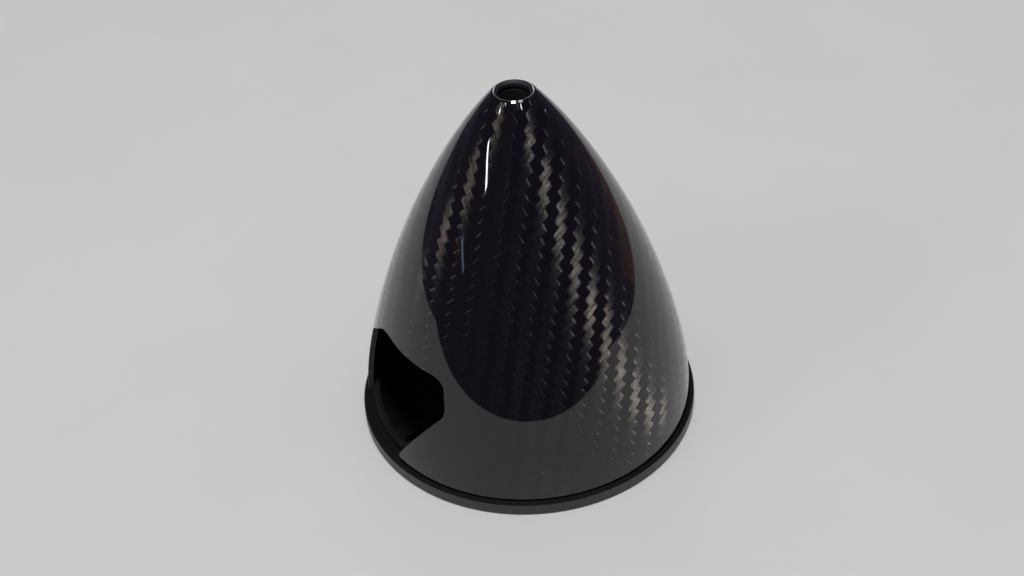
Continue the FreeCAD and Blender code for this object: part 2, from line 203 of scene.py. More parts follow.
CONE_RADIUS, CONE_EDGE, WALL = 43.25, 4.15, 1.5
NOSE_TOP, NOSE_HOLE_RADIUS = 95.8, 3.9
NOSE_MOUTH_RADIUS, LIP_RISE, LIP_RUN = 4.5, 0.3, 0.476
CONE_ARCS = ((102.8, 23.0, 12), (197.7, 82.4, 34), (111.4, NOSE_TOP, 10))
BELLY_CENTRE_UP = -1.40
CONE_STEPS, INNER_STEPS = 360, (8, 20, 6)
EDGE_BREAK = 0.12
WINDOW = ((-18.5, 0), (-16.9, 25.9, 4.5), (-4.6, 35.3, 12), (19.6, 34.4, 4.2),
          (22.1, 25.2, 4.6), (8.6, 4.15, 1.4), (22.1, 4.15), (22.1, 0))
WINDOW_STEPS, WINDOW_CUT = 10, 60


def ogive(inset):
    """Ends and centres of the ogive's arcs from the edge upwards, moved inwards by inset."""
    low = Vector((CONE_RADIUS, CONE_EDGE))
    first = CONE_ARCS[0][0]
    across = math.sqrt(first ** 2 - (CONE_EDGE - BELLY_CENTRE_UP) ** 2)
    centre = Vector((CONE_RADIUS - across, BELLY_CENTRE_UP))
    arcs = []
    for radius, top, steps in CONE_ARCS:
        centre = low + (centre - low).normalized() * radius
        angle = math.asin((top - centre.y) / radius)
        high = centre + Vector((math.cos(angle), math.sin(angle))) * radius
        within = (radius - inset) / radius
        arcs.append((centre + (low - centre) * within, centre + (high - centre) * within,
                     centre, steps))
        low = high
    return arcs


def on_level(arc, level):
    """Point of the arc at the given height."""
    low, _, centre, _ = arc
    radius = (low - centre).length
    return Vector((centre.x + math.sqrt(radius ** 2 - (level - centre.y) ** 2), level))


def model_cone():
    """The shell's section spun round the axis, with a window cut through each side."""
    outer, inner = ogive(0), ogive(WALL)
    foot, lid = on_level(inner[0], CONE_EDGE), on_level(inner[2], NOSE_TOP - WALL)
    lip = on_level(outer[2], NOSE_TOP - LIP_RISE)
    ends = (outer[0][1], outer[1][1], lip)
    runs = [(*end, *centre, steps) for end, (_, _, centre, steps) in zip(ends, outer)]
    runs += [(lip.x - LIP_RUN, NOSE_TOP), (NOSE_MOUTH_RADIUS, NOSE_TOP),
             (NOSE_HOLE_RADIUS, NOSE_TOP - NOSE_MOUTH_RADIUS + NOSE_HOLE_RADIUS),
             (NOSE_HOLE_RADIUS, NOSE_TOP - WALL), tuple(lid)]
    runs += [(*inner[2][0], *inner[2][2], INNER_STEPS[2]), (*inner[1][0], *inner[1][2], INNER_STEPS[1]),
             (*foot, *inner[0][2], INNER_STEPS[0]), tuple(outer[0][0])]
    cone = turn_round(draw("cone_shell", X, Z, outer[0][0], runs), CONE_STEPS)
    window = pull(draw("window_cutter", Y, Z, *rounded(WINDOW, WINDOW_STEPS)), X * WINDOW_CUT)
    cut(cone, [window, turned_copy(window, math.pi)])
    break_edges(cone, EDGE_BREAK)
    smooth(cone, angle=14)
    return cone


cone = model_cone()
finish_piece(cone, "spinner_cone")


# ---------------------------------------------------------------------------
# Backplate
# ---------------------------------------------------------------------------

PLATE_SECTION = ((4.4, 0), (44.1, 0), (44.448, 0.35), (44.448, 3.25), (44.1, 3.6), (42.8, 3.6),
                 (42.8, 4.15), (41.45, 4.15), (41.45, 6.2), (40.85, 6.8), (39.7, 6.8),
                 (39.7, 3.8), (39.1, 3.2), (21.1, 3.2), (20.5, 3.8), (20.5, 7.5), (20.0, 8.0),
                 (4.4, 8.0), (4.0, 7.6), (4.0, 0.4))
POCKET_OUTER, POCKET_INNER, POCKET_CORNER, POCKET_FLOOR = 38.8, 22.5, 2.5, 1.2
POCKET_ARC_STEPS, POCKET_CORNER_STEPS = 28, 6
SPOKE_HALF_WIDTH, SPOKES = 2.1, 6
BOLT_CIRCLE_RADIUS, BOLT_HOLE_RADIUS, BOLTS = 15.0, 2.6, 4
PLATE_STEPS, BOLT_HOLE_STEPS = 240, 48
POCKET_CUT, BOLT_CUT = 20, 30


def pocket_outline():
    """Start and runs of the sector between two spokes."""
    aside, turn = SPOKE_HALF_WIDTH + POCKET_CORNER, 2 * math.pi / SPOKES
    along_outer = math.sqrt((POCKET_OUTER - POCKET_CORNER) ** 2 - aside ** 2)
    along_inner = math.sqrt((POCKET_INNER + POCKET_CORNER) ** 2 - aside ** 2)

    def beside(along, off, second):
        """A point beside the first spoke, or its mirror image beside the second."""
        if not second:
            return Vector((along, off))
        return Vector((along * math.cos(turn) + off * math.sin(turn),
                       along * math.sin(turn) - off * math.cos(turn)))

    runs = []
    for along, ring, second in ((along_outer, POCKET_OUTER, False), (along_outer, POCKET_OUTER, True),
                                (along_inner, POCKET_INNER, True), (along_inner, POCKET_INNER, False)):
        centre = beside(along, aside, second)
        on_side, on_ring = beside(along, SPOKE_HALF_WIDTH, second), centre.normalized() * ring
        if second == (ring == POCKET_OUTER):
            runs.append((*on_ring, 0, 0, POCKET_ARC_STEPS))
            runs.append((*on_side, *centre, POCKET_CORNER_STEPS))
        else:
            runs.append(tuple(on_side))
            runs.append((*on_ring, *centre, POCKET_CORNER_STEPS))
    return runs[0][:2], runs[1:] + [runs[0][:2]]


def model_backplate():
    """The plate's section spun round the axis, with its pockets milled and its bolt holes drilled."""
    plate = turn_round(draw("turned_backplate", X, Z, PLATE_SECTION[0],
                            [*PLATE_SECTION[1:], PLATE_SECTION[0]]), PLATE_STEPS)
    sector = pull(draw("pocket_cutter", X, Y, *pocket_outline()), Z * POCKET_CUT)
    bpy.ops.object.mode_set(mode="EDIT")
    bpy.ops.mesh.select_all(action="SELECT")
    bpy.ops.transform.translate(value=Z * POCKET_FLOOR * MM)
    bpy.ops.object.mode_set(mode="OBJECT")
    cutters = [sector] + [turned_copy(sector, k * 2 * math.pi / SPOKES) for k in range(1, SPOKES)]
    for k in range(BOLTS):
        angle = k * 2 * math.pi / BOLTS
        bpy.ops.mesh.primitive_cylinder_add(
            vertices=BOLT_HOLE_STEPS, radius=BOLT_HOLE_RADIUS * MM, depth=BOLT_CUT * MM,
            location=(BOLT_CIRCLE_RADIUS * MM * math.cos(angle),
                      BOLT_CIRCLE_RADIUS * MM * math.sin(angle), 0))
        cutters.append(bpy.context.object)
    cut(plate, cutters)
    break_edges(plate, EDGE_BREAK, angle=50)
    smooth(plate)
    return plate


plate = model_backplate()
finish_piece(plate, "backplate")


# ---------------------------------------------------------------------------
# Nose bush, washer and screw
# ---------------------------------------------------------------------------

# closed outlines of radius and height; the screw's starts and ends on the axis
BUSH_SECTION = ((2.15, 79.3), (6.0, 79.3), (6.0, 84.5), (11.85, 84.5), (4.88, 93.6),
                (3.9, 93.6), (3.9, 83.3), (2.15, 83.3))
WASHER_SECTION = ((2.15, 83.3), (3.7, 83.3), (3.7, 84.1), (2.15, 84.1))
SCREW_HEAD = ((0, 88.1), (3.1, 88.1), (3.5, 87.7), (3.5, 84.1), (2.0, 84.1), (2.0, 64.1),
              (1.57, 64.1), (1.57, 44.4), (1.27, 44.1), (0, 44.1))
HEAD_RADIUS, HEAD_TOP = 3.5, 88.1
SOCKET_FLAT, SOCKET_DEPTH = 1.5, 2.2
DRILL_RADIUS, DRILL_LENGTH, DRILL_OVERLAP, DRILL_STEPS = 0.93 * SOCKET_FLAT, 0.8, 0.1, 24
KNURLS, KNURL_DEPTH, KNURLED_BEYOND = 48, 0.12, 3.45
THREAD_PITCH, THREAD_CREST, THREAD_ROOT, THREAD_STEPS = 0.7, 2.0, 1.57, 24
TOOTH_SINK, TOOTH_HALF_CREST, TOOTH_GAP = 0.15 * THREAD_PITCH, 0.07 * THREAD_PITCH, 0.2 * THREAD_PITCH
SHANK_END, THREAD_END = 44.1, 64.1
BUSH_STEPS, WASHER_STEPS = 120, 64


def model_turned(name, section, steps, edge):
    """A turned piece from its section, with its edges broken."""
    piece = turn_round(draw(name, X, Z, section[0], [*section[1:], section[0]]), steps)
    break_edges(piece, edge)
    smooth(piece)
    return piece


def model_head():
    """Knurled head with a hexagon socket, plain shank and the core of the thread."""
    head = turn_round(draw("socket_screw", X, Z, SCREW_HEAD[0], SCREW_HEAD[1:]), 2 * KNURLS)
    for vertex in head.data.vertices:
        turn = round(math.atan2(vertex.co.y, vertex.co.x) / (math.pi / KNURLS))
        vertex.select = turn % 2 == 1 and math.hypot(vertex.co.x, vertex.co.y) > KNURLED_BEYOND * MM
    bpy.ops.object.mode_set(mode="EDIT")
    bpy.ops.mesh.select_mode(type="VERT")
    within = 1 - KNURL_DEPTH / HEAD_RADIUS
    bpy.ops.transform.resize(value=(within, within, 1), center_override=(0, 0, 0))
    bpy.ops.object.mode_set(mode="OBJECT")
    bpy.ops.mesh.primitive_cylinder_add(
        vertices=6, radius=SOCKET_FLAT / math.cos(math.pi / 6) * MM, depth=2 * SOCKET_DEPTH * MM,
        location=(0, 0, HEAD_TOP * MM), rotation=(0, 0, math.pi / 6))
    hexagon = bpy.context.object
    bpy.ops.mesh.primitive_cone_add(
        vertices=DRILL_STEPS, radius1=0, radius2=DRILL_RADIUS * MM, depth=DRILL_LENGTH * MM,
        location=(0, 0, (HEAD_TOP - SOCKET_DEPTH + DRILL_OVERLAP - DRILL_LENGTH / 2) * MM))
    cut(head, [hexagon, bpy.context.object])
    return head


def model_thread():
    """The raised tooth of the thread, wound round the core as one closed bar."""
    foot = THREAD_ROOT - TOOTH_SINK
    low, high = SHANK_END + TOOTH_GAP, SHANK_END + THREAD_PITCH
    middle = (low + high) / 2
    tooth = ((THREAD_CREST, middle - TOOTH_HALF_CREST), (THREAD_CREST, middle + TOOTH_HALF_CREST),
             (foot, high), (foot, low))
    thread = draw("screw_thread", X, Z, (foot, low), tooth)
    close_up()
    turns = int((THREAD_END - SHANK_END) / THREAD_PITCH) - 1
    apply(thread, "SCREW", axis="Z", screw_offset=THREAD_PITCH * MM, iterations=turns,
          steps=THREAD_STEPS, render_steps=THREAD_STEPS, use_merge_vertices=True,
          merge_threshold=TOUCHING * MM)
    bpy.ops.object.mode_set(mode="EDIT")
    bpy.ops.mesh.select_mode(type="EDGE")
    bpy.ops.mesh.select_all(action="DESELECT")
    bpy.ops.mesh.select_non_manifold()
    bpy.ops.mesh.fill_holes(sides=4)
    close_up()
    return thread


def model_screw():
    """Head and thread as one piece."""
    head, thread = model_head(), model_thread()
    bpy.ops.object.select_all(action="DESELECT")
    thread.select_set(True)
    head.select_set(True)
    bpy.context.view_layer.objects.active = head
    bpy.ops.object.join()
    smooth(head, angle=25)
    return head


bush = model_turned("turned_bush", BUSH_SECTION, BUSH_STEPS, edge=0.1)
finish_piece(bush, "nose_bush")
washer = model_turned("plain_washer", WASHER_SECTION, WASHER_STEPS, edge=0.08)
finish_piece(washer, "screw_washer")
screw = model_screw()
finish_piece(screw, "fixing_screw")


# ---------------------------------------------------------------------------
# Node building
# ---------------------------------------------------------------------------

class Bench:
    """Adds nodes to a tree. Each input is a number, a colour, a vector or another node's output."""

    def __init__(self, tree):
        self.tree = tree

    def add(self, kind, *inputs, **settings):
        node = self.tree.nodes.new("ShaderNode" + kind)
        for name, value in settings.items():
            setattr(node, name, value)
        for socket, given in zip(node.inputs, inputs):
            self.feed(socket, given)
        return node

    def feed(self, socket, given):
        if isinstance(given, bpy.types.NodeSocket):
            self.tree.links.new(given, socket)
        elif given is not None:
            socket.default_value = given

    def math(self, operation, *inputs):
        return self.add("Math", *inputs, operation=operation).outputs[0]

    def vector(self, operation, *inputs):
        return self.add("VectorMath", *inputs, operation=operation).outputs[0]

    def scaled(self, vector, factor):
        return self.add("VectorMath", vector, None, None, factor, operation="SCALE").outputs[0]

    def mix(self, factor, first, second):
        node = self.add("Mix", data_type="RGBA")
        for socket, given in zip((node.inputs[0], node.inputs[6], node.inputs[7]),
                                 (factor, first, second)):
            self.feed(socket, given)
        return node.outputs[2]

    def noise(self, place, scale, detail, roughness=0.5):
        return self.add("TexNoise", place, None, scale, detail, roughness).outputs[0]

    def choose(self, factor, first, second):
        """first where factor is 0 and second where it is 1, of two vectors."""
        node = self.add("Mix", data_type="VECTOR")
        for socket, given in zip((node.inputs[0], node.inputs[4], node.inputs[5]),
                                 (factor, first, second)):
            self.feed(socket, given)
        return node.outputs[1]


def new_group(name, inputs, outputs):
    """An empty node group with named inputs, each with its value, and named outputs."""
    tree = bpy.data.node_groups.new(name, "ShaderNodeTree")
    for label, value in inputs:
        socket = tree.interface.new_socket(label, in_out="INPUT", socket_type="NodeSocketFloat")
        socket.default_value = value
    for label, kind in outputs:
        tree.interface.new_socket(label, in_out="OUTPUT", socket_type="NodeSocket" + kind)
    bench = Bench(tree)
    return bench, tree.nodes.new("NodeGroupInput").outputs, tree.nodes.new("NodeGroupOutput").inputs


REPEAT, LAST_OF_FIRST_FAMILY = 4.0, 1.5
FIBRES_PER_HALF_TOW = 60.0
FLATTEST_RISE = 0.2
CRIMP_SHARPNESS = 11.0
SEAM_START, END_SEAM = 0.94, 0.98
DARKEST_TOW, TOW_RANGE, FIBRE_RANGE = 0.85, 0.2, 0.2
FAMILY_OFFSET, SCRAMBLE = 1000.0, 61.7


def twill_weave():
    """2x2 twill of flat tows, draped round the shaft axis, with fibres that shine across their run."""
    bench, given, out = new_group("twill_weave", [
        ("Tow Width", 1.803 * MM), ("Drape Centre", math.radians(-121.8)), ("Drape Spread", 0.796),
        ("Narrowest Drape", 0.72), ("Lean", 0.147), ("Rise", 0.907), ("Shift", 0.855 * MM),
        ("Crimp", 0.55), ("Fibre Lift", 0.38), ("Fibre Spread", 0.45), ("Fibre Sway", 0.09)],
        [("Colour Shade", "Float"), ("Gap", "Float"), ("Normal", "Vector"), ("Side", "Float")])
    m, v = bench.math, bench.vector
    place = bench.add("SeparateXYZ", bench.add("TexCoord").outputs["Object"]).outputs
    radius = m("SQRT", m("ADD", m("POWER", place[0], 2.0), m("POWER", place[1], 2.0)))
    angle = m("WRAP", m("SUBTRACT", m("ARCTAN2", place[1], place[0]), given["Drape Centre"]),
              math.pi, -math.pi)
    size, hand = m("ABSOLUTE", angle), m("SIGN", angle)
    limit = m("DIVIDE", m("ARCCOSINE", given["Narrowest Drape"]), given["Drape Spread"])
    bent = m("MULTIPLY", m("MINIMUM", size, limit), given["Drape Spread"])
    over = m("MAXIMUM", m("SUBTRACT", size, limit), 0.0)
    reach = m("MULTIPLY", hand, m("ADD", m("DIVIDE", m("SINE", bent), given["Drape Spread"]),
                                  m("MULTIPLY", over, given["Narrowest Drape"])))
    across = m("SUBTRACT", m("SUBTRACT", m("MULTIPLY", radius, reach),
                             m("MULTIPLY", place[2], given["Lean"])), given["Shift"])
    up = m("ADD", m("MULTIPLY", place[2], given["Rise"]), m("MULTIPLY", across, given["Lean"]))

    # tow counts along the two families, and the cell of the weave
    diagonal = m("MULTIPLY", given["Tow Width"], math.sqrt(2))
    first = m("DIVIDE", m("ADD", across, up), diagonal)
    second = m("DIVIDE", m("SUBTRACT", up, across), diagonal)
    first_tow, second_tow = m("FLOOR", first), m("FLOOR", second)
    step = m("FLOORED_MODULO", m("SUBTRACT", first_tow, second_tow), REPEAT)
    side = m("GREATER_THAN", step, LAST_OF_FIRST_FAMILY)
    keep = m("SUBTRACT", 1.0, side)

    def either(when_first, when_second):
        return m("ADD", m("MULTIPLY", keep, when_first), m("MULTIPLY", side, when_second))

    first_run = m("FLOORED_MODULO", m("SUBTRACT", first, second_tow), REPEAT)
    second_run = m("SUBTRACT", m("FLOORED_MODULO", m("SUBTRACT", second, first_tow), REPEAT), 1.0)
    along = m("SUBTRACT", either(first_run, second_run), 1.0)
    aside = m("SUBTRACT", m("MULTIPLY", either(m("FRACT", second), m("FRACT", first)), 2.0), 1.0)
    tow = either(second_tow, m("ADD", first_tow, FAMILY_OFFSET))

    # directions of the two families on the surface
    normal = bench.add("NewGeometry").outputs["Normal"]
    rise = bench.add("SeparateXYZ", normal).outputs[2]
    round_axis = v("NORMALIZE", v("CROSS_PRODUCT", tuple(Z), normal))
    upward = v("CROSS_PRODUCT", normal, round_axis)
    level = m("SQRT", m("MAXIMUM", m("SUBTRACT", 1.0, m("MULTIPLY", rise, rise)), 0.0))
    slant = m("ADD", m("MULTIPLY", rise, reach), m("MULTIPLY", level, given["Lean"]))
    cloth_across = v("NORMALIZE", v("SUBTRACT", bench.scaled(round_axis, m("COSINE", bent)),
                                    bench.scaled(upward, slant)))
    cloth_up = v("CROSS_PRODUCT", normal, cloth_across)
    way_first = v("NORMALIZE", v("ADD", cloth_across, cloth_up))
    way_second = v("NORMALIZE", v("SUBTRACT", cloth_up, cloth_across))
    fibre = bench.choose(side, way_first, way_second)
    crosswise = bench.choose(side, way_second, way_first)

    # fibres: fine threads side by side in a tow, each turned a little round its own run
    thread = m("FLOOR", m("MULTIPLY", aside, FIBRES_PER_HALF_TOW))
    chance = bench.add("TexWhiteNoise", bench.add("CombineXYZ", thread, tow, 0.0).outputs[0],
                       noise_dimensions="2D").outputs["Value"]
    facing_up = m("SIGN", bench.add("SeparateXYZ", crosswise).outputs[2])
    lift = m("DIVIDE", m("MULTIPLY", given["Fibre Lift"], facing_up), m("MAXIMUM", rise, FLATTEST_RISE))
    spread = m("MULTIPLY", m("SUBTRACT", chance, 0.5), m("MULTIPLY", given["Fibre Spread"], 2.0))
    tilt = m("MULTIPLY", lift, m("ADD", 1.0, spread))
    other_chance = m("SUBTRACT", m("FRACT", m("MULTIPLY", chance, SCRAMBLE)), 0.5)
    sway = m("MULTIPLY", other_chance, m("MULTIPLY", given["Fibre Sway"], 2.0))
    dive = m("ADD", sway, m("MULTIPLY", m("POWER", along, CRIMP_SHARPNESS), given["Crimp"]))
    shaped = v("ADD", normal, v("ADD", bench.scaled(crosswise, tilt), bench.scaled(fibre, dive)))
    bench.feed(out["Normal"], v("NORMALIZE", shaped))

    edge = m("MAXIMUM", m("ABSOLUTE", aside), m("MULTIPLY", m("ABSOLUTE", along), END_SEAM))
    gap = bench.add("MapRange", edge, SEAM_START, 1.0, 0.0, 1.0, interpolation_type="SMOOTHSTEP")
    bench.feed(out["Gap"], gap.outputs[0])
    tone = bench.add("TexWhiteNoise", None, tow, noise_dimensions="1D").outputs["Value"]
    uneven = m("ADD", m("MULTIPLY", tone, TOW_RANGE), m("MULTIPLY", chance, FIBRE_RANGE))
    bench.feed(out["Colour Shade"], m("ADD", DARKEST_TOW, uneven))
    bench.feed(out["Side"], side)
    return bench.tree


TWILL = twill_weave()


def new_material(name, **values):
    """A Principled material with the given constants on the shader's own sockets."""
    material = bpy.data.materials.new(name)
    material.use_nodes = True
    bench = Bench(material.node_tree)
    shader = material.node_tree.nodes["Principled BSDF"]
    for socket, value in values.items():
        shader.inputs[socket.replace("_", " ")].default_value = value
    return material, bench, shader.inputs


def place_group(bench, tree, **values):
    """The group in a material, with its own values where they differ from the group's."""
    node = bench.add("Group", node_tree=tree)
    for socket in tree.interface.items_tree:
        if socket.in_out == "INPUT":
            value = values.get(socket.name.replace(" ", "_"), socket.default_value)
            bench.feed(node.inputs[socket.name], value)
    return node.outputs


def surface_grain():
    """Fine unevenness and blotches of a finish, by place on the object."""
    bench, given, out = new_group("surface_grain", [
        ("Grain Size", 0.25 * MM), ("Blotch Size", 9.0 * MM), ("Blotch Strength", 0.5)],
        [("Height", "Float"), ("Blotch", "Float"), ("Speck", "Float")])
    m = bench.math
    place = bench.add("TexCoord").outputs["Object"]
    fine = bench.noise(place, m("DIVIDE", 1.0, given["Grain Size"]), detail=2.0, roughness=0.6)
    broad = bench.noise(place, m("DIVIDE", 1.0, given["Blotch Size"]), detail=4.0, roughness=0.55)
    bench.feed(out["Height"], fine)
    twice = m("MULTIPLY", given["Blotch Strength"], 2.0)
    centred = m("MULTIPLY", m("SUBTRACT", broad, 0.5), twice)
    bench.feed(out["Blotch"], m("ADD", 1.0, centred))
    specks = bench.add("TexVoronoi", place, None, m("DIVIDE", 0.25, given["Grain Size"]))
    speck = bench.add("MapRange", specks.outputs["Distance"], 0.12, 0.06, 0.0, 1.0)
    bench.feed(out["Speck"], speck.outputs[0])
    return bench.tree


def turning_marks():
    """Rings that a lathe tool leaves round the shaft axis, closer together than the eye can count."""
    bench, given, out = new_group("turning_marks", [
        ("Feed", 0.12 * MM), ("Waver", 0.35)], [("Height", "Float")])
    m = bench.math
    place = bench.add("SeparateXYZ", bench.add("TexCoord").outputs["Object"]).outputs
    radius = m("SQRT", m("ADD", m("MULTIPLY", place[0], place[0]), m("MULTIPLY", place[1], place[1])))
    travel = m("ADD", radius, m("MULTIPLY", place[2], 0.83))
    count = m("DIVIDE", travel, given["Feed"])
    ridge = m("SINE", m("MULTIPLY", count, 2 * math.pi))
    chance = bench.add("TexNoise", None, m("MULTIPLY", count, 0.37), 1.0, 3.0, noise_dimensions="1D")
    uneven = m("MULTIPLY", chance.outputs[0], given["Waver"])
    even = m("MULTIPLY", m("SUBTRACT", 1.0, given["Waver"]), ridge)
    bench.feed(out["Height"], m("ADD", even, uneven))
    return bench.tree


def edge_wear():
    """How far the finish is rubbed at sharp edges, from 0 to 1."""
    bench, given, out = new_group("edge_wear", [("Reach", 0.06), ("Break-up", 0.5)], [("Worn", "Float")])
    m = bench.math
    sharp = bench.add("NewGeometry").outputs["Pointiness"]
    place = bench.add("TexCoord").outputs["Object"]
    noise = bench.noise(place, 900.0, detail=3.0, roughness=0.6)
    worn = m("SUBTRACT", m("DIVIDE", m("SUBTRACT", sharp, 0.52), given["Reach"]),
             m("MULTIPLY", noise, given["Break-up"]))
    bench.feed(out["Worn"], m("MINIMUM", m("MAXIMUM", worn, 0.0), 1.0))
    return bench.tree


GRAIN, MARKS, WEAR = surface_grain(), turning_marks(), edge_wear()


def polished_laminate():
    """Outside of the cone: twill under a polished clear coat."""
    material, bench, skin = new_material(
        "polished_carbon_twill", Metallic=0.9, Roughness=0.21, Specular_Tint=(0.1, 0.1, 0.1, 1),
        Coat_Weight=1.0, Coat_Roughness=0.025, Coat_IOR=1.58)
    weave = place_group(bench, TWILL)
    # the second family of tows gets about half the first family's colour: painted shade that dims its
    # glints against the first family's
    yarn_with_painted_shade = bench.mix(weave["Side"], (0.0128, 0.0113, 0.0094, 1), (0.0062, 0.0052, 0.0042, 1))
    tow = bench.mix(weave["Colour Shade"], BLACK, yarn_with_painted_shade)
    seam = bench.math("MULTIPLY", weave["Gap"], 0.6)
    bench.feed(skin["Base Color"], bench.mix(seam, tow, (0.003, 0.003, 0.004, 1)))
    bench.feed(skin["Normal"], weave["Normal"])
    return material


def dull_laminate():
    """Inside of the cone: the same cloth, without a coat."""
    material, bench, skin = new_material("dull_carbon_inside", Metallic=0.2, Specular_IOR_Level=0.5)
    weave, grain = place_group(bench, TWILL), place_group(bench, GRAIN, Grain_Size=0.4 * MM)
    tow = bench.mix(weave["Colour Shade"], BLACK, (0.020, 0.021, 0.024, 1))
    bench.feed(skin["Base Color"], bench.mix(weave["Gap"], tow, (0.008, 0.008, 0.009, 1)))
    bump = bench.add("Bump", 0.4, 0.1 * MM, None, grain["Height"])
    bench.feed(skin["Normal"], bump.outputs[0])
    bench.feed(skin["Roughness"], bench.math("ADD", 0.35, bench.math("MULTIPLY", grain["Blotch"], 0.2)))
    return material


def cut_laminate():
    """Sawn and filed edges of the laminate: grey dust in the plies, with paler chips."""
    material, bench, skin = new_material("filed_laminate_edge", Roughness=0.85)
    grain = place_group(bench, GRAIN, Grain_Size=0.22 * MM, Blotch_Size=2.2 * MM, Blotch_Strength=0.9)
    place = bench.add("TexCoord").outputs["Object"]
    plies = bench.noise(bench.vector("MULTIPLY", place, (5200.0, 500.0, 500.0)), 1.0, detail=2.0)
    tone = bench.math("MULTIPLY", plies, grain["Blotch"])
    grey = bench.mix(tone, (0.012, 0.012, 0.014, 1), (0.13, 0.125, 0.115, 1))
    bench.feed(skin["Base Color"], bench.mix(grain["Speck"], grey, (0.30, 0.29, 0.27, 1)))
    bench.feed(skin["Normal"], bench.add("Bump", 0.7, 0.08 * MM, None, grain["Height"]).outputs[0])
    return material


def anodised(name, colour, roughness, feed, shine=0.5, worn_colour=(0.05, 0.049, 0.047, 1)):
    """Matt anodised aluminium, with the tool's rings under the film, rubbed paler at sharp edges."""
    material, bench, skin = new_material(name, Metallic=0.0, Specular_IOR_Level=shine)
    grain = place_group(bench, GRAIN, Grain_Size=0.12 * MM, Blotch_Strength=0.35)
    rings, worn = place_group(bench, MARKS, Feed=feed)["Height"], place_group(bench, WEAR)["Worn"]
    film = bench.mix(grain["Blotch"], BLACK, colour)
    bench.feed(skin["Base Color"], bench.mix(worn, film, worn_colour))
    bench.feed(skin["Roughness"], bench.math("MULTIPLY", grain["Blotch"], roughness))
    height = bench.math("ADD", bench.math("MULTIPLY", rings, 0.6), grain["Height"])
    bench.feed(skin["Normal"], bench.add("Bump", 0.25, 0.02 * MM, None, height).outputs[0])
    return material


def steel(name, colour, roughness, feed):
    """Plated or blackened steel, turned."""
    material, bench, skin = new_material(name, Metallic=1.0)
    grain = place_group(bench, GRAIN, Grain_Size=0.1 * MM, Blotch_Size=1.5 * MM, Blotch_Strength=0.4)
    worn = place_group(bench, WEAR, Reach=0.05)["Worn"]
    rings = place_group(bench, MARKS, Feed=feed)["Height"]
    film = bench.mix(grain["Blotch"], BLACK, colour)
    bench.feed(skin["Base Color"], bench.mix(worn, film, (0.40, 0.39, 0.37, 1)))
    bench.feed(skin["Roughness"], bench.math("MULTIPLY", grain["Blotch"], roughness))
    height = bench.math("ADD", bench.math("MULTIPLY", rings, 0.5), grain["Height"])
    bench.feed(skin["Normal"], bench.add("Bump", 0.25, 0.01 * MM, None, height).outputs[0])
    return material


WINDOW_TOP, WINDOW_SIDE, WINDOW_DEPTH = 36.5, 24, 20
FACING_DOWN, EDGE_REACH, ACROSS_WALL = -0.6, 0.2, 0.7
COATED, DULL, FILED = 0, 1, 2


def dress_cone():
    """Coat outside, dull laminate inside, and filed laminate on every cut."""
    for material in (polished_laminate(), dull_laminate(), cut_laminate()):
        cone.data.materials.append(material)
    for face in cone.data.polygons:
        middle, facing = face.center / MM, face.normal
        radial = (facing.x * middle.x + facing.y * middle.y) / math.hypot(middle.x, middle.y)
        in_window = (middle.z < WINDOW_TOP and abs(middle.y) < WINDOW_SIDE
                     and abs(middle.x) > WINDOW_DEPTH)
        mouth = math.hypot(middle.x, middle.y) < NOSE_MOUTH_RADIUS
        underneath = facing.z < FACING_DOWN and middle.z < CONE_EDGE + EDGE_REACH
        if underneath or in_window and abs(facing.x) < ACROSS_WALL:
            face.material_index = FILED
        elif radial < 0 and (middle.z < NOSE_TOP - WALL or mouth):
            face.material_index = DULL
        else:
            face.material_index = COATED


RIM_SIDE, FACING_UP = 43.9, 0.5
SATIN, MATT_AND_PAINTED_SHADE = 0, 1


def dress_plate():
    """Satin film on the rim's side; on the milled and turned faces inside it, a rougher copy of the film
    that is darker in colour, shine and worn colour as painted shade.
    """
    feed = 0.12 * MM
    rim = anodised("satin_anodised_rim", (0.006, 0.0057, 0.0053, 1), 0.38, feed)
    # rougher film on the faces inside the rim, with darker colour, shine and worn edges as painted shade
    shaded_rest = anodised("dull_anodised_plate", (0.0032, 0.0032, 0.0036, 1), 0.60, feed,
                    shine=0.12, worn_colour=(0.012, 0.012, 0.012, 1))
    plate.data.materials.append(rim)
    plate.data.materials.append(shaded_rest)
    for face in plate.data.polygons:
        reach = math.hypot(face.center.x, face.center.y) / MM
        face.material_index = SATIN if reach > RIM_SIDE and face.normal.z < FACING_UP else MATT_AND_PAINTED_SHADE


dress_cone()
dress_plate()
bush.data.materials.append(anodised("black_anodised_bush", (0.010, 0.010, 0.010, 1), 0.38, 0.08 * MM))
washer.data.materials.append(steel("zinc_plated_steel", (0.20, 0.20, 0.19, 1), 0.35, 0.06 * MM))
screw.data.materials.append(steel("black_oxide_steel", (0.035, 0.034, 0.034, 1), 0.32, 0.05 * MM))


# ---------------------------------------------------------------------------
# Floor, lamps and surroundings
# ---------------------------------------------------------------------------

VIEW_TURN = math.radians(-25)
DARK_ROOM = (0.088, 0.074, 0.125, 1)
SKY_LIGHT, SKY_SEEN = 0.3, 0.6
FLOOR_FADE = (0.35, 0.95)
BOARD_RIGHT, BOARD_BACK = (0.251, 0.80), (0.03, 0.36)
FLOOR_SIZE, ROOM_RADIUS, CLOTH_LEVEL, BOARD_LEVEL = 6, 2.5, 0.3 * MM, 0.5 * MM
TABLE = (((-1, 0, 0), 0.45), ((1, 0, 0), 0.25), ((0, -1, 0), 0.147), ((0, 1, 0), 0.60))


def only_for_gloss(piece):
    """Leaves the piece visible to glossy rays alone."""
    piece.visible_camera = piece.visible_diffuse = piece.visible_shadow = False
    piece.visible_transmission = False


